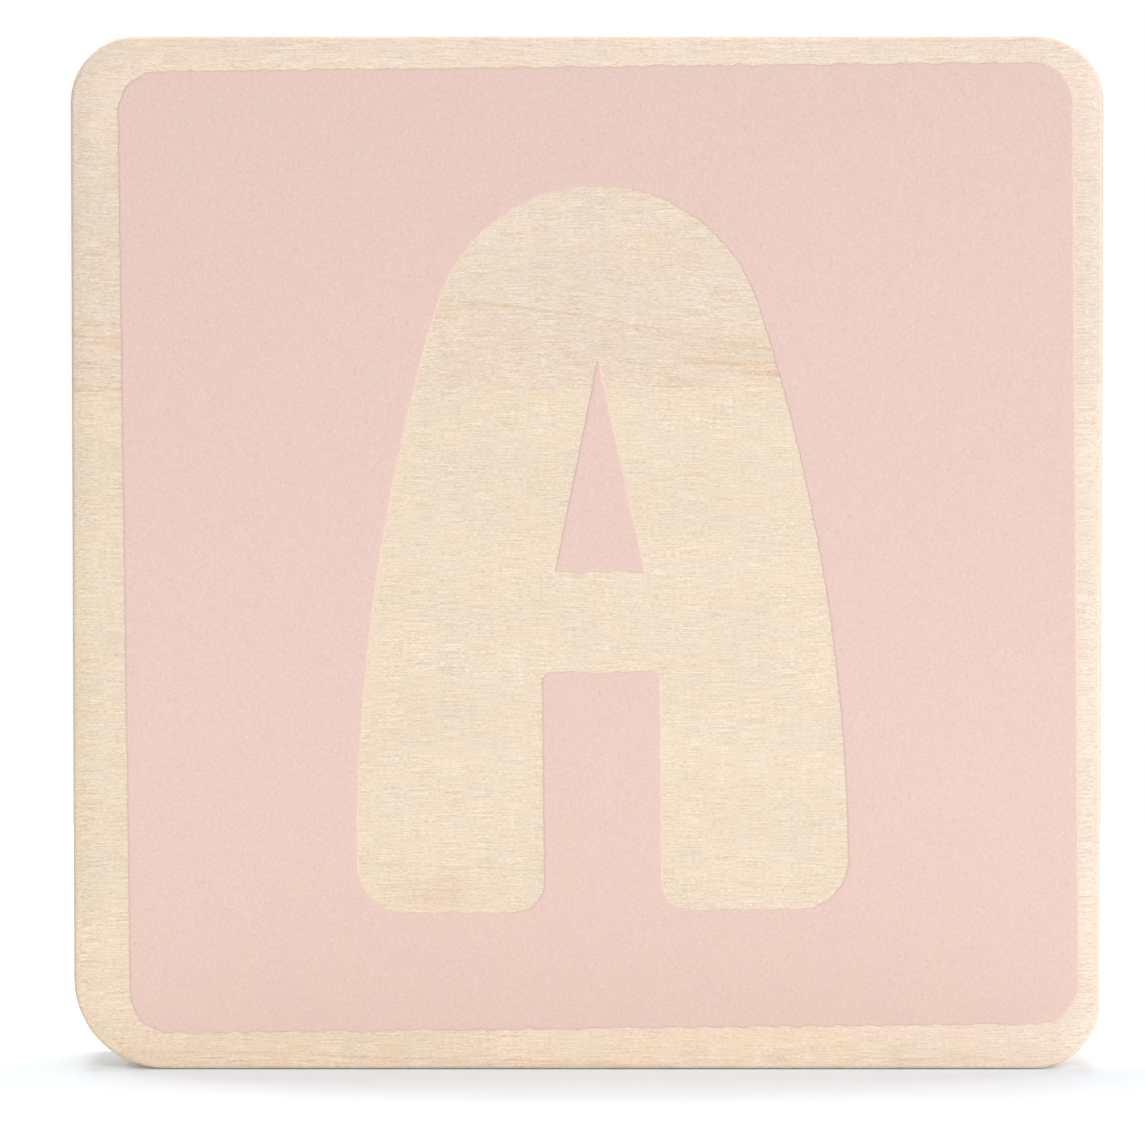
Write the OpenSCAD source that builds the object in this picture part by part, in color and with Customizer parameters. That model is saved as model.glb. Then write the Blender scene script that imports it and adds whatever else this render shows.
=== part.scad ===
// Letter car of a wooden toy train: a square plate of two glued staves, printed on the front
// and coupled by magnets in its side edges. It stands on its lower edge, front towards -Y.

/* [Plate] */
// Width of the plate
plate_w = 75; // [70:1:110]
// Height of the plate
plate_h = 75.3; // [70:0.1:110]
// Thickness of the plate
plate_t = 12; // [11:0.5:24]
// Radius of the plate's corners
corner_r = 4.8; // [3:0.1:10]
// Radius of the lower left corner, which is sanded rounder
worn_r = 6.6; // [3:0.1:10]
// Radius of the sanded edges on the front and back
edge_r = 0.35; // [0.3:0.05:0.8]
// Width of the band along those edges where sanding has eased the faces
ease_w = 1.5; // [1:0.1:1.8]
// Radius of that easing, across the band
ease_r = 6.5; // [5:0.5:20]

/* [Staves] */
// Height of the glue seam above the lower edge, at mid-width
seam_h = 49.8; // [44:0.2:62]
// Tilt of the glue seam in degrees, rising to the right
seam_tilt = 0.4; // [-1:0.1:1]

/* [Coupling] */
// Height of the magnets above the lower edge
coupling_h = 37.5; // [30:0.5:38]
// Diameter of a disc magnet
magnet_d = 6; // [4:0.5:6.5]
// Thickness of a disc magnet
magnet_t = 4; // [2:0.5:8]
// Gap all round a magnet in its hole
magnet_gap = 0.1; // [0.05:0.05:0.2]
// Width of the shoulder that a plug seats on
shoulder_w = 0.9; // [0.6:0.1:1.2]
// Thickness of a plug
plug_t = 2.5; // [1.5:0.5:5]
// Glue gap all round a plug
plug_gap = 0.05; // [0.05:0.05:0.15]

/* [Print] */
// Wood left bare at each side of the print, if it were centred
side_margin = 2.85; // [2:0.05:6]
// Wood left bare above and below the print, if it were centred
end_margin = 2.65; // [2:0.05:6]
// Radius of the print's corners
print_r = 3; // [1:0.5:6]
// Thickness of the paint film
print_t = 0.15; // [0.1:0.05:0.3]
// How far the print sits off centre to the right
print_dx = 0.95; // [-1:0.05:1]
// How far the print sits off centre upwards
print_dz = 0.4; // [-1:0.05:1]
// Turn of the print in degrees, counter-clockwise
print_turn = 0.6; // [-1:0.1:1]

/* [Letter] */
// Height of the letter
letter_h = 53; // [46:0.5:56]
// Width of the letter across its feet
letter_w = 35.8; // [30:0.2:50]
// Radius of the letter's round top
arch_r = 12.2; // [8:0.2:14]
// Radius of the outer corners of the feet
foot_r = 3.6; // [1:0.2:5]
// Radius of the inner corners of the feet
heel_r = 2; // [0.5:0.1:3]
// Width of the opening between the legs
leg_gap_w = 8.6; // [6:0.2:12]
// Height of the opening between the legs
leg_gap_h = 17.5; // [12:0.5:19]
// Radius of the top corners of the opening between the legs
leg_gap_r = 0.7; // [0.2:0.1:2]
// Height of the crossbar
bar_h = 7.4; // [5:0.2:9]
// Width of the counter at its base
counter_w = 6.5; // [4:0.1:9]
// Height of the counter
counter_h = 15.4; // [8:0.2:18]

/* [Hidden] */
$fn = 96;
wood = "#F0DFC5";
plug_wood = "#DCC29A";
pink = "#ECCFC4";
steel = "#B9BCC0";
over = 1;
ease_z = plate_t / 2 - ease_r;
round_z = ease_z + sqrt(pow(ease_r - edge_r, 2) - pow(ease_w - edge_r, 2));
eased_w = (ease_w - edge_r) * ease_r / (ease_r - edge_r);
print_w = plate_w - 2 * side_margin;
print_h = plate_h - 2 * end_margin;
magnet_bore_r = magnet_d / 2 + magnet_gap;
plug_r = magnet_bore_r + shoulder_w;
half_letter = letter_w / 2;
arch_h = letter_h - arch_r;
flank_h = arch_h - foot_r;
flank_r = (half_letter * half_letter + flank_h * flank_h - arch_r * arch_r) / (2 * (half_letter - arch_r));
flank_a = atan2(flank_h, flank_r - half_letter);
counter_base = leg_gap_h + bar_h;
arc_steps = 24;

// Stands a piece drawn flat, front upwards, on its lower edge
module upright() {
    translate([0, 0, plate_h / 2])
        rotate([90, 0, 0])
            children();
}

// Radius of the corner at the left (side = -1) or right, and at the bottom (end = -1) or top
function radius(side, end) = side < 0 && end < 0 ? worn_r : corner_r;

// Section through the plate's edge, from the centre of a corner of radius turn_r outwards:
// both faces ease off, then turn round
module edge_section(turn_r) {
    flat_w = turn_r - ease_w;
    translate([0, -plate_t / 2])
        square([flat_w, plate_t]);
    translate([0, -round_z])
        square([turn_r, 2 * round_z]);
    for (face = [-1, 1]) {
        intersection() {
            translate([flat_w, face * ease_z])
                circle(ease_r);
            translate([flat_w, (face - 1) / 2 * plate_t])
                square([eased_w, plate_t]);
        }
        translate([turn_r - edge_r, face * round_z])
            circle(edge_r);
    }
}

// The left (side = -1) or right edge of the plate, between its corners
module side_edge(side) {
    lower_r = radius(side, -1);
    translate([side * (plate_w / 2 - lower_r), (lower_r - corner_r) / 2, 0])
        rotate([90, 0, 90 - side * 90])
            linear_extrude(plate_h - lower_r - corner_r, center = true)
                edge_section(lower_r);
}

// The lower (end = -1) or upper edge of the plate, between its corners
module end_edge(end) {
    left_r = radius(-1, end);
    translate([(left_r - corner_r) / 2, end * (plate_h / 2 - left_r), 0])
        rotate([90, 0, end * 90])
            linear_extrude(plate_w - left_r - corner_r, center = true)
                edge_section(left_r);
}

module corner(side, end) {
    turn_r = radius(side, end);
    translate([side * (plate_w / 2 - turn_r), end * (plate_h / 2 - turn_r), 0])
        rotate(atan2(end, side) - 45)
            rotate_extrude(angle = 90)
                edge_section(turn_r);
}

// The whole plate: its middle, four straight edges and four round corners
module plate() {
    shift = (worn_r - corner_r) / 2;
    translate([shift, shift, 0])
        cube([plate_w - worn_r - corner_r, plate_h - worn_r - corner_r, plate_t], center = true);
    for (side = [-1, 1]) {
        side_edge(side);
        end_edge(side);
        for (end = [-1, 1])
            corner(side, end);
    }
}

// Puts a piece into a side edge at the coupling height, its +Z pointing inwards
module into_side(side) {
    translate([side * plate_w / 2, coupling_h - plate_h / 2, 0])
        rotate([0, -side * 90, 0])
            children();
}

// Stepped hole for a magnet and the plug over it
module coupling_hole() {
    translate([0, 0, -over])
        cylinder(h = plug_t + over, r = plug_r + plug_gap);
    cylinder(h = plug_t + magnet_t, r = magnet_bore_r);
}

module drilled_plate() {
    difference() {
        plate();
        for (side = [-1, 1])
            into_side(side)
                coupling_hole();
    }
}

// Everything above the glue seam (up = 1) or below it (up = 0)
module seam_side(up) {
    translate([0, seam_h - plate_h / 2, 0])
        rotate(seam_tilt)
            translate([-plate_w, (up - 1) * plate_h, -plate_t])
                cube([2 * plate_w, plate_h, 2 * plate_t]);
}

module upper_stave() {
    color(wood)
        upright()
            intersection() {
                drilled_plate();
                seam_side(1);
            }
}

module lower_stave() {
    color(wood)
        upright()
            intersection() {
                drilled_plate();
                seam_side(0);
            }
}

function arc(centre, radius, from, to) = [
    for (i = [0 : arc_steps])
        let (a = from + (to - from) * i / arc_steps)
            centre + radius * [cos(a), sin(a)]
];

// Outline of the letter, standing on the X axis: round top, bowed flanks, two feet
module letter_outline() {
    polygon(concat(
        arc([leg_gap_w / 2 + heel_r, heel_r], heel_r, 180, 270),
        arc([half_letter - foot_r, foot_r], foot_r, 270, 360),
        arc([half_letter - flank_r, foot_r], flank_r, 0, flank_a),
        arc([0, arch_h], arch_r, flank_a, 180 - flank_a),
        arc([flank_r - half_letter, foot_r], flank_r, 180 - flank_a, 180),
        arc([foot_r - half_letter, foot_r], foot_r, 180, 270),
        arc([-leg_gap_w / 2 - heel_r, heel_r], heel_r, 270, 360),
        arc([leg_gap_r - leg_gap_w / 2, leg_gap_h - leg_gap_r], leg_gap_r, 180, 90),
        arc([leg_gap_w / 2 - leg_gap_r, leg_gap_h - leg_gap_r], leg_gap_r, 90, 0)
    ));
}

module print_outline() {
    square([print_w - 2 * print_r, print_h], center = true);
    square([print_w, print_h - 2 * print_r], center = true);
    for (x = [-1, 1], y = [-1, 1])
        translate([x * (print_w / 2 - print_r), y * (print_h / 2 - print_r)])
            circle(print_r);
}

// Lays a film of paint on the front of the plate
module printed() {
    upright()
        translate([print_dx, print_dz, plate_t / 2])
            rotate(print_turn)
                linear_extrude(print_t)
                    children();
}

module paint_field() {
    color(pink)
        printed()
            difference() {
                print_outline();
                translate([0, -letter_h / 2])
                    letter_outline();
            }
}

module paint_counter() {
    color(pink)
        printed()
            translate([0, counter_base - letter_h / 2])
                polygon([[-counter_w / 2, 0], [counter_w / 2, 0], [0, counter_h]]);
}

module magnet(side) {
    color(steel)
        upright()
            into_side(side)
                translate([0, 0, plug_t])
                    cylinder(h = magnet_t, d = magnet_d);
}

module plug(side) {
    color(plug_wood)
        upright()
            into_side(side)
                cylinder(h = plug_t, r = plug_r);
}

upper_stave();
lower_stave();
paint_field();
paint_counter();
magnet(-1);  // left_magnet
magnet(1);  // right_magnet
plug(-1);  // left_plug
plug(1);  // right_plug
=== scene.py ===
import math
from types import SimpleNamespace

import bmesh
import bpy
import numpy as np
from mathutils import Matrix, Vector, geometry, kdtree, noise


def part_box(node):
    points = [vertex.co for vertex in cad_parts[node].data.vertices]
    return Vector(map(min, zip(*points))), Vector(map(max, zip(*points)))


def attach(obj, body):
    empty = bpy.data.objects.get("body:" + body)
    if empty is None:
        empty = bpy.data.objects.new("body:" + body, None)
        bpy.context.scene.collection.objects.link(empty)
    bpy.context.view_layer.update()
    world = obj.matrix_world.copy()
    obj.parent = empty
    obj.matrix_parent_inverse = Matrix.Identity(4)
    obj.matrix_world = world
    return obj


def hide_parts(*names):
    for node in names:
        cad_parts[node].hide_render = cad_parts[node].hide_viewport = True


# Looks of a wooden letter car: pale wood in two glued staves, with a matte pink print on the front

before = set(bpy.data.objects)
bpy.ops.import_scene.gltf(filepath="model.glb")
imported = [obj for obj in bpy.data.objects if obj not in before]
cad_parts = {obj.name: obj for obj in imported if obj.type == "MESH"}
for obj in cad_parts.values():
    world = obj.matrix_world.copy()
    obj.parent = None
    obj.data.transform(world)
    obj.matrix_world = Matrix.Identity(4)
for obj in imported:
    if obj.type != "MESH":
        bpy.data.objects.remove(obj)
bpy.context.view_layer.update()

MM = 0.001
BODY = "root"

# The plate and its glue seam, from the frame
PLATE_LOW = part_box("lower_stave")[0]
PLATE_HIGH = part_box("upper_stave")[1]
PLATE_W = PLATE_HIGH.x - PLATE_LOW.x
PLATE_H = PLATE_HIGH.z - PLATE_LOW.z
FRONT_Y = PLATE_LOW.y
SEAM_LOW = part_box("upper_stave")[0].z
SEAM_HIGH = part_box("lower_stave")[1].z
SEAM_H = (SEAM_LOW + SEAM_HIGH) / 2
SEAM_SLOPE = (SEAM_HIGH - SEAM_LOW) / PLATE_W

# The film of paint: its thickness in the CAD, the spacing of its points along its outlines and inside them,
# how far it sinks into the wood, and the reach over which its corners and its outlines' normals are eased
FILM_T = FRONT_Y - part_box("paint_field")[0].y
FILM_STEP = 0.08 * MM
FILM_GRID = 1.2 * MM
FILM_SINK = 0.02 * MM
EASE_CORNERS = 0.1 * MM
EASE_NORMALS = 0.3 * MM

# The film's soft, lower rim: depth from the outline in millimetres, and height there as a share of FILM_T
RIM = ((0.0, 0.07), (0.05, 0.17), (0.1, 0.26), (0.16, 0.3), (0.26, 0.315), (0.4, 0.32))

# How far the paint creeps: in teeth along the grain, in scallops across it, and in a fine roughness
TEETH = 0.07 * MM
SCALLOPS = 0.15 * MM
ROUGHNESS = 0.05 * MM

# Colours as seen on screen
PINK = (239, 207, 195)
PINK_WARM = (239, 207, 194)
UPPER_WOOD = (242, 222, 200)
LOWER_WOOD = (243, 223, 197)
PALE_WOOD = (252, 230, 209)
# A whiter, cooler wood: the painted sheen of light from the right
PAINTED_SHEEN_WOOD = (244, 222, 209)
PEACH_WOOD = (238, 208, 178)
PLUG_WOOD = (224, 198, 160)
NICKEL = (200, 198, 192)
NICKEL_HAZE = (188, 186, 179)

# Tints of a change in brightness: one moves a pale colour's three levels alike, one makes it warmer
EVEN_TINT = (0.76, 1.04, 1.38)
WARM_TINT = (0.67, 0.16, -1.0)

# Shares of the pale colour at the top, the cool one at the right, which is a painted sheen of light from
# the right, and those of rings and end grain
PALE_SHARE = 0.65
PAINTED_SHEEN_SHARE = 0.5
RING_SHARE = 0.4
END_SHARE = 0.85

# How far the fibres sway up and down, and the growth rings with them
FIBRE_SWAY = 0.6 * MM
RING_SWAY = 0.5 * MM

# Growth rings: their bow across the thickness, per metre, the soft and the sharp side of their dark lines,
# and heights at which they don't fade
RING_BOW = 40.0
RING_SOFT = 0.3 * MM
RING_SHARP = 0.06 * MM
NO_FADE = (2 * PLATE_H, 3 * PLATE_H)

# The floor lies a little under the plate's edge, so that a thin dark line shows between them.
# Its glow whitens what the camera sees, and grows between two depths from the front's to the back's; the
# stronger glow behind the plate is painted light that fades the plate's shadow there
FLOOR_GAP = 0.08 * MM
FLOOR_RADIUS = 200 * MM
FLOOR_TONE = (0.867, 0.93, 0.985)
FRONT_GLOW = 0.15
BACK_PAINTED_GLOW = 0.4
GLOW_DEPTHS = (-3 * MM, 8 * MM)

# The sky: strength of its even light, and its colour
SKY_LIGHT = 0.25
WHITE = (1.0, 1.0, 1.0, 1.0)

# The photograph's view: square frame, its width where the plate stands, and where its centre falls
VIEW_W = 83.4 * MM
VIEW_DISTANCE = 500 * MM
VIEW_ELEVATION = math.radians(3.1)
VIEW_CENTRE = Vector((-1.06 * MM, FRONT_Y, 36.36 * MM))
SENSOR = 36.0


def srgb(tone):
    """A colour as seen on screen, 0 to 255, as linear RGBA."""
    def linear(level):
        share = level / 255
        return share / 12.92 if share <= 0.04045 else ((share + 0.055) / 1.055) ** 2.4
    return (*(linear(level) for level in tone), 1.0)


# Node trees

def cleared(holder):
    """The empty node tree of a material or world."""
    holder.use_nodes = True
    holder.node_tree.nodes.clear()
    return holder.node_tree


def put(tree, kind, inputs=None, out=0, **settings):
    """Adds a node, sets or links its inputs, and returns one of its outputs."""
    made = tree.nodes.new(kind)
    for name, value in settings.items():
        setattr(made, name, value)
    for key, value in (inputs or {}).items():
        if isinstance(value, bpy.types.NodeSocket):
            tree.links.new(value, made.inputs[key])
        else:
            made.inputs[key].default_value = value
    return made.outputs[out] if made.outputs else None


def calc(tree, operation, *values):
    return put(tree, "ShaderNodeMath", dict(enumerate(values)), operation=operation)


def vector(tree, operation, a, b):
    return put(tree, "ShaderNodeVectorMath", {0: a, 1: b}, operation=operation)


def apart(tree, value):
    """The outputs X, Y and Z of a vector."""
    return put(tree, "ShaderNodeSeparateXYZ", {0: value}).node.outputs


def ranged(tree, level, low, high, start, end):
    """start where the level is low or beyond, end where it is high or beyond, in line between."""
    return put(tree, "ShaderNodeMapRange", {0: level, 1: low, 2: high, 3: start, 4: end})


def stepped(tree, level, low, high):
    """0 at low and beyond, 1 at high and beyond, smooth between."""
    return put(tree, "ShaderNodeMapRange", {0: level, 1: low, 2: high}, interpolation_type="SMOOTHSTEP")


def grained(tree, place, along, across, detail=0.0):
    """Noise of about -1 to 1 in patches about as long and as thick as given, in metres, along the grain."""
    stretched = vector(tree, "MULTIPLY", place, (1 / along, 1 / across, 1 / across))
    level = put(tree, "ShaderNodeTexNoise", {
        "Vector": stretched,
        "Scale": 1.0,
        "Detail": detail,
        "Roughness": 0.6,
    }, out="Fac")
    return ranged(tree, level, 0.3, 0.7, -1.0, 1.0)


def mixed(tree, share, a, b):
    return put(tree, "ShaderNodeMix", {0: share, 6: a, 7: b}, out=2, data_type="RGBA")


def total(tree, *terms):
    """The sum of level times weight over the terms."""
    whole = 0.0
    for level, weight in terms:
        whole = calc(tree, "MULTIPLY_ADD", level, weight, whole)
    return whole


def shaded(tree, colour, amount, tint=EVEN_TINT):
    """The colour times 1 + amount times tint."""
    change = put(tree, "ShaderNodeVectorMath", {0: tint, "Scale": amount}, operation="SCALE")
    return vector(tree, "MULTIPLY", colour, vector(tree, "ADD", change, (1.0, 1.0, 1.0)))


def material(name, build, specular, metallic=0.0):
    """A material whose colour, roughness and normal come from build(tree)."""
    made = bpy.data.materials.new(name)
    tree = cleared(made)
    colour, roughness, normal = build(tree)
    surface = put(tree, "ShaderNodeBsdfPrincipled", {
        "Base Color": colour,
        "Roughness": roughness,
        "Normal": normal,
        "Specular IOR Level": specular,
        "Metallic": metallic,
    })
    put(tree, "ShaderNodeOutputMaterial", {"Surface": surface})
    return made


# Wood, paint and metal

def grain_of(tree, place, seed):
    """The wood's noises by name, on fibres that run along X and sway a little."""
    moved = vector(tree, "ADD", place, (seed, seed, seed))
    sway = grained(tree, moved, 26 * MM, 11 * MM)
    lift = put(tree, "ShaderNodeCombineXYZ", {"Z": calc(tree, "MULTIPLY", sway, FIBRE_SWAY)})
    fibres = vector(tree, "ADD", moved, lift)
    return SimpleNamespace(
        sway=sway,
        fleck=grained(tree, fibres, 0.3 * MM, 0.09 * MM, 2.0),
        thread=grained(tree, fibres, 2.2 * MM, 0.08 * MM, 1.0),
        clump=grained(tree, fibres, 2.4 * MM, 0.7 * MM),
        figure=grained(tree, fibres, 0.5 * MM, 3 * MM, 1.0),
        blush=grained(tree, fibres, 3.5 * MM, 1.6 * MM, 2.0),
        cloud=grained(tree, fibres, 16 * MM, 5 * MM, 1.0),
        streak=grained(tree, fibres, 8 * MM, 0.5 * MM, 1.0),
    )


def ring_lines(tree, place, grain, slope, lean, at, gap, fade):
    """Growth rings: 1 on a thin dark line, which fades in and out, and a faint shade that leads up to it.
    slope is their fall along X, lean along Y, and one of them crosses the front at height at, mid-width.
    They are full at the first height of fade, and faint from the second."""
    axes = apart(tree, place)
    bow = calc(tree, "MULTIPLY", axes["Y"], axes["Y"])
    height = total(
        tree,
        (axes["X"], slope),
        (axes["Y"], lean),
        (bow, RING_BOW),
        (axes["Z"], 1.0),
        (grain.sway, RING_SWAY),
    )
    start = at + lean * FRONT_Y + RING_BOW * FRONT_Y ** 2
    turn = calc(tree, "FRACT", calc(tree, "DIVIDE", calc(tree, "SUBTRACT", height, start), gap))
    late = stepped(tree, turn, 0.4, 1.0)
    before = stepped(tree, turn, 1 - RING_SOFT / gap, 1.0)
    after = stepped(tree, turn, RING_SHARP / gap, 0.0)
    shown = calc(tree, "MULTIPLY_ADD", stepped(tree, grain.cloud, -1.0, 0.2), 0.6, 0.4)
    broken = calc(tree, "MULTIPLY", calc(tree, "MAXIMUM", before, after), shown)
    strength = calc(tree, "MULTIPLY_ADD", stepped(tree, axes["Z"], fade[1], fade[0]), 0.8, 0.2)
    return calc(tree, "MULTIPLY", total(tree, (broken, 1.0), (late, 0.15)), strength)


def patch(tree, place, x, z, length, height):
    """1 in the middle of an oval patch on the front and back, 0 at its edge."""
    offset = vector(tree, "SUBTRACT", place, (x, 0.0, z))
    scaled = vector(tree, "MULTIPLY", offset, (2 / length, 0.0, 2 / height))
    distance = put(tree, "ShaderNodeVectorMath", {0: scaled}, out="Value", operation="LENGTH")
    return stepped(tree, distance, 1.0, 0.0)


def peach(tree, place, grain, patches):
    """How peach the wood is, in uneven oval patches, each given as its strength, place and size."""
    uneven = calc(tree, "MULTIPLY_ADD", stepped(tree, grain.streak, -0.6, 0.6), 0.7, 0.3)
    share = 0.0
    for strength, *where in patches:
        spot = calc(tree, "MULTIPLY", patch(tree, place, *where), uneven)
        share = calc(tree, "MULTIPLY_ADD", spot, strength, share)
    return share


def warmth(tree, place, grain, streaks, edge, edge_h):
    """How much warmer the wood is: in streaks along the grain, and in a band along its lower edge."""
    low = stepped(tree, apart(tree, place)["Z"], edge_h[1], edge_h[0])
    band = calc(tree, "MULTIPLY", low, calc(tree, "MULTIPLY_ADD", grain.cloud, 0.3, 0.7))
    clouded = stepped(tree, grain.cloud, -0.3, 0.5)
    thin = calc(tree, "MULTIPLY", stepped(tree, grain.streak, 0.0, 0.8), clouded)
    drawn = calc(tree, "MULTIPLY", thin, calc(tree, "MULTIPLY_ADD", low, 0.7, 0.3))
    return total(tree, (drawn, streaks), (band, edge))


def glue_line(tree, place, grain):
    """1 on the glue seam, where it shows."""
    axes = apart(tree, place)
    seam = calc(tree, "MULTIPLY_ADD", axes["X"], SEAM_SLOPE, SEAM_H)
    away = calc(tree, "ABSOLUTE", calc(tree, "SUBTRACT", axes["Z"], seam))
    on_seam = stepped(tree, away, 0.08 * MM, 0.01 * MM)
    return calc(tree, "MULTIPLY", on_seam, stepped(tree, grain.cloud, -0.3, 0.4))


def face_colour(tree, place, grain, tones, rings, warm, patches):
    """The wood's colour with its streaks, patches and rings, paler at the top, and cooler and whiter at the
    right as a painted sheen of light from the right.
    """
    axes = apart(tree, place)
    right = stepped(tree, axes["X"], 0.2 * PLATE_W, 0.55 * PLATE_W)
    top = stepped(tree, axes["Z"], 0.84 * PLATE_H, 0.98 * PLATE_H)
    ring = ring_lines(tree, place, grain, **rings)
    colour = mixed(tree, warmth(tree, place, grain, **warm), srgb(tones["plain"]), srgb(tones["warm"]))
    colour = mixed(tree, peach(tree, place, grain, patches), colour, srgb(PEACH_WOOD))
    colour = mixed(tree, calc(tree, "MULTIPLY", top, PALE_SHARE), colour, srgb(PALE_WOOD))
    # Painted sheen: the wood turns whiter and cooler towards the right, as if lit from there
    colour = mixed(tree, calc(tree, "MULTIPLY", right, PAINTED_SHEEN_SHARE), colour, srgb(PAINTED_SHEEN_WOOD))
    return mixed(tree, calc(tree, "MULTIPLY", ring, RING_SHARE), colour, srgb(tones["ring"]))


def end_colour(tree, place, grain, tone, rings, gap, depth):
    """The end grain's colour, with rings a gap apart that are darker by depth."""
    ring = ring_lines(tree, place, grain, **{**rings, "gap": gap, "fade": NO_FADE})
    return shaded(tree, srgb(tone)[:3], calc(tree, "MULTIPLY", ring, -depth))


def on_ends(tree):
    """1 on sides that face along X, where the fibres end, 0 on the others."""
    facing = put(tree, "ShaderNodeNewGeometry", out="Normal")
    return stepped(tree, calc(tree, "ABSOLUTE", apart(tree, facing)["X"]), 0.5, 0.95)


def wood(name, tones, seed, rings, end_rings, warm, patches=(), rise=0.0, glue=0.0):
    """Pale, fine wood with its grain along X: short flecks, growth rings, warm streaks, darker end grain.
    end_rings gives the gap of the rings on the end grain and how much darker they are there.
    rise is how much lighter it gets from left to right."""
    def build(tree):
        place = put(tree, "ShaderNodeTexCoord", out="Object")
        grain = grain_of(tree, place, seed)
        colour = face_colour(tree, place, grain, tones, rings, warm, patches)
        ends = end_colour(tree, place, grain, tones["end"], rings, *end_rings)
        colour = mixed(tree, calc(tree, "MULTIPLY", on_ends(tree), END_SHARE), colour, ends)
        colour = shaded(tree, colour, calc(tree, "MULTIPLY", grain.blush, 0.025), tint=WARM_TINT)

        clump = calc(tree, "MULTIPLY_ADD", grain.clump, 0.2, 1.0)
        fine = calc(tree, "MULTIPLY", total(tree, (grain.fleck, 0.12), (grain.thread, 0.1)), clump)
        across = apart(tree, place)["X"]
        slow = total(tree, (grain.figure, 0.013), (grain.cloud, 0.018), (across, rise / PLATE_W))
        level = total(tree, (fine, 1.0), (slow, 1.0), (glue_line(tree, place, grain), -glue))

        relief = total(tree, (grain.fleck, 0.4), (grain.thread, 0.6))
        normal = put(tree, "ShaderNodeBump", {"Strength": 0.25, "Distance": 0.01 * MM, "Height": relief})
        roughness = calc(tree, "MULTIPLY_ADD", grain.thread, 0.05, 0.76)
        return shaded(tree, colour, level), roughness, normal
    return material(name, build, specular=0.3)


def pink_paint():
    """Matte pale pink screen paint with a fine speckle."""
    def build(tree):
        place = put(tree, "ShaderNodeTexCoord", out="Object")
        fine = grained(tree, place, 0.2 * MM, 0.2 * MM, 2.0)
        speckle = calc(tree, "MULTIPLY", fine, calc(tree, "ABSOLUTE", fine))
        mottle = grained(tree, place, 4 * MM, 3 * MM, 2.0)
        broad = grained(tree, place, 30 * MM, 24 * MM)
        tone = mixed(tree, stepped(tree, mottle, -1.0, 1.0), srgb(PINK), srgb(PINK_WARM))
        colour = shaded(tree, tone, total(tree, (speckle, 0.085), (mottle, 0.005), (broad, 0.004)))
        normal = put(tree, "ShaderNodeBump", {"Strength": 0.15, "Distance": 0.008 * MM, "Height": speckle})
        roughness = calc(tree, "MULTIPLY_ADD", speckle, 0.04, 0.68)
        return colour, roughness, normal
    return material("pink_paint", build, specular=0.35)


def nickel():
    """Bright plated metal with a faint haze and fine handling marks."""
    def build(tree):
        place = put(tree, "ShaderNodeTexCoord", out="Object")
        haze = grained(tree, place, 1.5 * MM, 1.5 * MM)
        scuff = grained(tree, place, 0.08 * MM, 1.2 * MM)
        colour = mixed(tree, stepped(tree, haze, -1.0, 1.0), srgb(NICKEL), srgb(NICKEL_HAZE))
        normal = put(tree, "ShaderNodeBump", {"Strength": 0.2, "Distance": 0.004 * MM, "Height": scuff})
        roughness = calc(tree, "MULTIPLY_ADD", haze, 0.06, 0.24)
        return colour, roughness, normal
    return material("nickel", build, specular=0.5, metallic=1.0)


def dress(node, finish):
    """Gives a CAD node its finish."""
    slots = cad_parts[node].data.materials
    slots.clear()
    slots.append(finish)


# The film of paint

def faces_front(face):
    """Whether a face belongs to its film's front."""
    return face.normal.y <= -0.9


def front_outlines(node):
    """The closed outlines of a film's front, as (n, 2) arrays of x and z, with the paint on their left."""
    film = bmesh.new()
    film.from_mesh(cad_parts[node].data)
    bmesh.ops.remove_doubles(film, verts=film.verts, dist=0.001 * MM)
    film.normal_update()
    following = {}
    for face in film.faces:
        if not faces_front(face):
            continue
        for corner in face.loops:
            if not any(faces_front(other) for other in corner.edge.link_faces if other is not face):
                following[corner.vert] = corner.link_loop_next.vert
    outlines = []
    while following:
        start, at = following.popitem()
        points = [start]
        while at is not start:
            points.append(at)
            at = following.pop(at)
        outlines.append(np.array([(v.co.x, v.co.z) for v in points]))
    film.free()
    return outlines


def resampled(outline):
    """The closed outline with points an even step apart."""
    closed = np.vstack([outline, outline[:1]])
    run = np.concatenate([[0], np.cumsum(np.linalg.norm(np.diff(closed, axis=0), axis=1))])
    count = int(run[-1] / FILM_STEP)
    at = np.arange(count) * run[-1] / count
    return np.column_stack([np.interp(at, run, closed[:, axis]) for axis in (0, 1)])


def eased(points, reach):
    """The closed outline with its corners eased over about the reach."""
    steps = int(3 * reach / FILM_STEP) + 1
    offsets = np.arange(-steps, steps + 1)
    weights = np.exp(-0.5 * (offsets * FILM_STEP / reach) ** 2)
    return sum(w * np.roll(points, o, axis=0) for o, w in zip(offsets, weights)) / weights.sum()


def outward(points):
    """Unit normals of a closed outline, pointing away from the paint."""
    along = np.roll(points, -1, axis=0) - np.roll(points, 1, axis=0)
    normals = np.column_stack([along[:, 1], -along[:, 0]])
    return normals / np.linalg.norm(normals, axis=1)[:, None]


def waver(x, z, along, across, plane):
    """Smooth noise of about -1 to 1 in patches about as long and as high as given."""
    return noise.noise(Vector((x / along, plane, z / across)))


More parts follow.
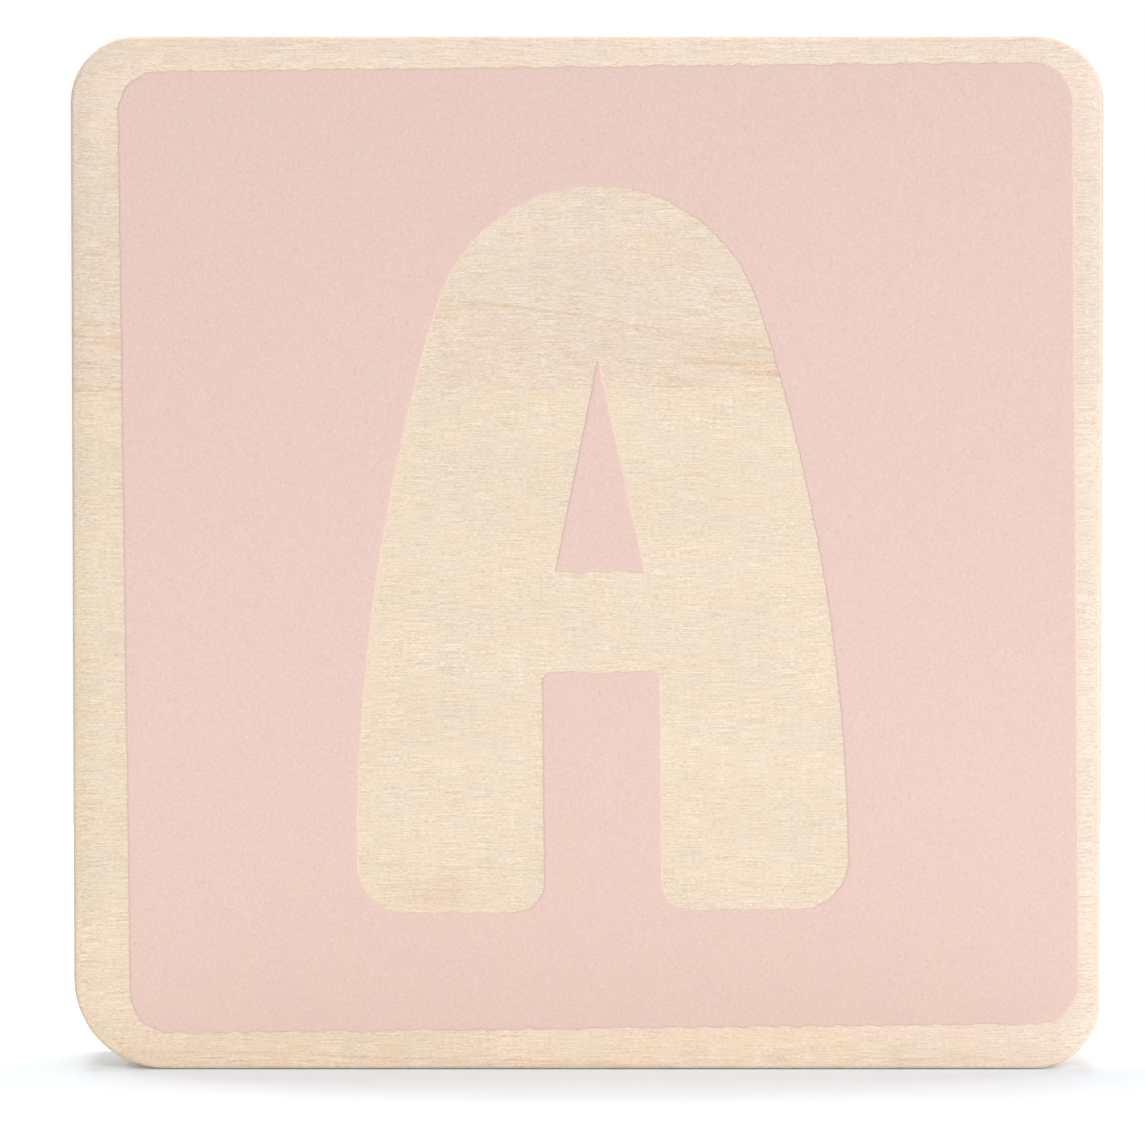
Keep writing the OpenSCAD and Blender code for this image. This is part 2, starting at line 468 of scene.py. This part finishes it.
def bleed(points, normals):
    """How far the paint has crept past its outline at each point."""
    creep = []
    for (x, z), (across, up) in zip(points, normals):
        tooth = 0.5 + waver(x, z, 1.5 * MM, 0.18 * MM, 3.7)
        scallop = 0.5 + waver(x, z, 1.0 * MM, 0.8 * MM, 9.1) + 0.5 * waver(x, z, 0.45 * MM, 0.4 * MM, 2.9)
        fine = waver(x, z, 0.17 * MM, 0.12 * MM, 5.3)
        reach = TEETH * abs(across) * tooth + SCALLOPS * abs(up) * scallop + ROUGHNESS * fine
        creep.append(max(0.0, reach))
    return np.array(creep)


def crept(outline):
    """An outline as the paint took it, with eased corners and crept edges."""
    points = resampled(outline)
    normals = outward(eased(points, EASE_NORMALS))
    points = eased(points, EASE_CORNERS)
    return points + normals * bleed(points, normals)[:, None]


def inside(points, outlines):
    """Which points lie within the outlines, holes left out."""
    odd = np.zeros(len(points), bool)
    for outline in outlines:
        ends = np.roll(outline, -1, axis=0)
        for (x0, z0), (x1, z1) in zip(outline, ends):
            if z0 == z1:
                continue
            spans = (points[:, 1] < z0) != (points[:, 1] < z1)
            odd ^= spans & (points[:, 0] < x0 + (points[:, 1] - z0) * (x1 - x0) / (z1 - z0))
    return odd


def searchable(points):
    """A tree to find the nearest of the points with."""
    tree = kdtree.KDTree(len(points))
    for i, (x, z) in enumerate(points):
        tree.insert(Vector((x, 0.0, z)), i)
    tree.balance()
    return tree


def depths(points, tree):
    """How far each point lies from the nearest outline."""
    return np.array([tree.find(Vector((x, 0.0, z)))[2] for x, z in points])


def rim_points(outlines, tree):
    """Points in rows along the outlines, one row at each depth of the rim, except where paint is narrow."""
    rows = [np.empty((0, 2))]
    for outline in outlines:
        normals = outward(eased(outline, EASE_NORMALS))
        for depth, _ in RIM[1:]:
            row = (outline - normals * depth * MM)[::2]
            rows.append(row[depths(row, tree) > 0.9 * depth * MM])
    return np.vstack(rows)


def grid_points(outlines, tree):
    """Points of an even grid that lie well within the outlines."""
    edge = np.vstack(outlines)
    low, high = edge.min(axis=0), edge.max(axis=0)
    columns, rows = (np.arange(low[axis] + FILM_GRID / 2, high[axis], FILM_GRID) for axis in (0, 1))
    grid = np.array([(x, z) for x in columns for z in rows])
    grid = grid[inside(grid, outlines)]
    return grid[depths(grid, tree) > FILM_GRID / 2]


def closed_edges(outlines):
    """The edges of the outlines, as pairs of places in one list of all their points."""
    edges = []
    first = 0
    for outline in outlines:
        count = len(outline)
        edges += [(first + i, first + (i + 1) % count) for i in range(count)]
        first += count
    return edges


def triangles(outlines, points):
    """Triangles that fill the outlines, over the given points, of which the outlines' own come first."""
    shown = [Vector(p) for p in points / MM]
    flat = geometry.delaunay_2d_cdt(shown, closed_edges(outlines), [], 0, 1e-7)
    corners = np.array(flat[2])
    places = np.array([tuple(p) for p in flat[0]]) * MM
    source = np.array([origins[0] for origins in flat[3]])
    return source[corners[inside(places[corners].mean(axis=1), outlines)]]


def mesh_data(name, mesh):
    """A finished mesh as data for an object."""
    data = bpy.data.meshes.new(name)
    mesh.to_mesh(data)
    mesh.free()
    return data


def film_mesh(outlines):
    """A film within the outlines: a top with a soft rim, a flat underside, and walls between them."""
    edge = np.vstack(outlines)
    tree = searchable(edge)
    top = np.vstack([edge, rim_points(outlines, tree), grid_points(outlines, tree)])
    heights = np.interp(depths(top, tree) / MM, *zip(*RIM)) * FILM_T
    mesh = bmesh.new()
    upper = [mesh.verts.new((x, FRONT_Y - h, z)) for (x, z), h in zip(top, heights)]
    lower = [mesh.verts.new((x, FRONT_Y + FILM_SINK, z)) for x, z in edge]
    for a, b, c in triangles(outlines, top):
        mesh.faces.new((upper[a], upper[b], upper[c]))
    for a, b, c in triangles(outlines, edge):
        mesh.faces.new((lower[c], lower[b], lower[a]))
    for a, b in closed_edges(outlines):
        mesh.faces.new((lower[a], lower[b], upper[b], upper[a]))
    bmesh.ops.recalc_face_normals(mesh, faces=mesh.faces)
    return mesh


def film(name, node, finish):
    """The node's film of paint with crept edges and a soft, lower rim."""
    outlines = [crept(outline) for outline in front_outlines(node)]
    data = mesh_data(name, film_mesh(outlines))
    data.shade_smooth()
    data.materials.append(finish)
    piece = bpy.data.objects.new(name, data)
    bpy.context.scene.collection.objects.link(piece)
    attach(piece, BODY)
    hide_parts(node)


# The stage

def camera():
    """The photograph's view: nearly level, straight at the front."""
    lens = bpy.data.cameras.new("camera")
    lens.sensor_width = SENSOR
    lens.lens = SENSOR * VIEW_DISTANCE / VIEW_W
    made = bpy.data.objects.new("camera", lens)
    back = Vector((0.0, -math.cos(VIEW_ELEVATION), math.sin(VIEW_ELEVATION)))
    made.location = VIEW_CENTRE + back * VIEW_DISTANCE
    made.rotation_euler = (-back).to_track_quat("-Z", "Y").to_euler()
    bpy.context.scene.collection.objects.link(made)
    bpy.context.scene.camera = made


def lamp(name, place, width, height, power):
    """A soft lamp that faces the middle of the plate."""
    light = bpy.data.lights.new(name, "AREA")
    light.shape = "RECTANGLE"
    light.size = width
    light.size_y = height
    light.energy = power
    made = bpy.data.objects.new(name, light)
    made.location = place
    towards = Vector((0.0, 0.0, PLATE_H / 2)) - made.location
    made.rotation_euler = towards.to_track_quat("-Z", "Y").to_euler()
    bpy.context.scene.collection.objects.link(made)


def seen(tree):
    """1 where the camera, a reflection or a see-through surface looks, 0 where light is gathered."""
    path = put(tree, "ShaderNodeLightPath").node.outputs
    mirrored = calc(tree, "MAXIMUM", path["Is Glossy Ray"], path["Is Transmission Ray"])
    return calc(tree, "MAXIMUM", path["Is Camera Ray"], mirrored)


def sky():
    """White to look at, and a soft, even light on the plate."""
    world = bpy.data.worlds.new("sky")
    tree = cleared(world)
    white = put(tree, "ShaderNodeBackground", {"Color": WHITE, "Strength": 1.0})
    light = put(tree, "ShaderNodeBackground", {"Color": WHITE, "Strength": SKY_LIGHT})
    both = put(tree, "ShaderNodeMixShader", {0: seen(tree), 1: light, 2: white})
    put(tree, "ShaderNodeOutputWorld", {"Surface": both})
    bpy.context.scene.world = world


def white_table():
    """A pale, matte finish with a glow that only the camera and reflections see. The glow is stronger
    behind the plate, painted light that fades the plate's shadow there.
    """
    finish = bpy.data.materials.new("white_table")
    tree = cleared(finish)
    matte = put(tree, "ShaderNodeBsdfDiffuse", {"Color": (*FLOOR_TONE, 1.0)})
    depth = apart(tree, put(tree, "ShaderNodeTexCoord", out="Object"))["Y"]
    # Painted light: the glow grows behind the plate and fades the plate's shadow there
    level = ranged(tree, depth, *GLOW_DEPTHS, FRONT_GLOW, BACK_PAINTED_GLOW)
    glow = put(tree, "ShaderNodeEmission", {"Strength": calc(tree, "MULTIPLY", seen(tree), level)})
    both = put(tree, "ShaderNodeAddShader", {0: matte, 1: glow})
    put(tree, "ShaderNodeOutputMaterial", {"Surface": both})
    return finish


def floor():
    """A round table that looks white and keeps the plate's shadow, faint behind the plate where painted
    light fades it.
    """
    mesh = bmesh.new()
    bmesh.ops.create_circle(mesh, cap_ends=True, segments=128, radius=FLOOR_RADIUS)
    data = mesh_data("floor", mesh)
    data.materials.append(white_table())
    made = bpy.data.objects.new("floor", data)
    made.location.z = -FLOOR_GAP
    bpy.context.scene.collection.objects.link(made)


upper_wood = wood(
    "upper_wood",
    tones=dict(plain=UPPER_WOOD, warm=(234, 200, 168), ring=(220, 188, 148), end=(228, 204, 172)),
    seed=0.31,
    rings=dict(slope=0.13, lean=0.7, at=54.6 * MM, gap=9.4 * MM, fade=(56 * MM, 59 * MM)),
    end_rings=(2.1 * MM, 0.07),
    warm=dict(streaks=0.8, edge=0.15, edge_h=(51 * MM, 58 * MM)),
    patches=(
        (0.35, -8.8 * MM, 50.4 * MM, 11 * MM, 2 * MM),
        (0.35, 5 * MM, 59.7 * MM, 11 * MM, 5 * MM),
        (0.4, 10.5 * MM, 52.6 * MM, 11 * MM, 5 * MM),
    ),
    rise=0.02,
    glue=0.12,
)
lower_wood = wood(
    "lower_wood",
    tones=dict(plain=LOWER_WOOD, warm=(249, 225, 200), ring=(232, 210, 178), end=(230, 208, 178)),
    seed=0.77,
    rings=dict(slope=0.04, lean=0.9, at=14 * MM, gap=7 * MM, fade=(14 * MM, 24 * MM)),
    end_rings=(2.6 * MM, 0.07),
    warm=dict(streaks=0.4, edge=0.9, edge_h=(7 * MM, 15 * MM)),
    patches=((0.8, -10.6 * MM, 12.8 * MM, 11 * MM, 4 * MM),),
    rise=0.06,
    glue=0.12,
)
plug_wood = wood(
    "plug_wood",
    tones=dict(plain=PLUG_WOOD, warm=(214, 182, 140), ring=(190, 152, 108), end=(212, 182, 142)),
    seed=0.13,
    rings=dict(slope=0.0, lean=0.4, at=37 * MM, gap=0.9 * MM, fade=NO_FADE),
    end_rings=(0.9 * MM, 0.16),
    warm=dict(streaks=0.3, edge=0.0, edge_h=(20 * MM, 60 * MM)),
)
pink = pink_paint()
metal = nickel()

camera()
sky()
lamp("top_lamp", place=(-0.04, 0.33, 1.50), width=0.80, height=0.50, power=10.5)
lamp("front_lamp", place=(0.24, -0.78, 0.40), width=1.00, height=0.50, power=4.95)
lamp("side_lamp", place=(0.40, -0.05, 0.045), width=0.08, height=0.08, power=0.42)
lamp("left_lamp", place=(-0.35, 0.20, 0.30), width=0.15, height=0.15, power=0.42)
lamp("right_lamp", place=(0.35, 0.20, 0.30), width=0.15, height=0.15, power=0.26)
floor()

dress("upper_stave", upper_wood)
dress("lower_stave", lower_wood)
for side in ("left", "right"):
    dress(f"{side}_plug", plug_wood)
    dress(f"{side}_magnet", metal)
film("printed_field", "paint_field", pink)
film("printed_counter", "paint_counter", pink)

bpy.context.scene.view_settings.view_transform = "Standard"
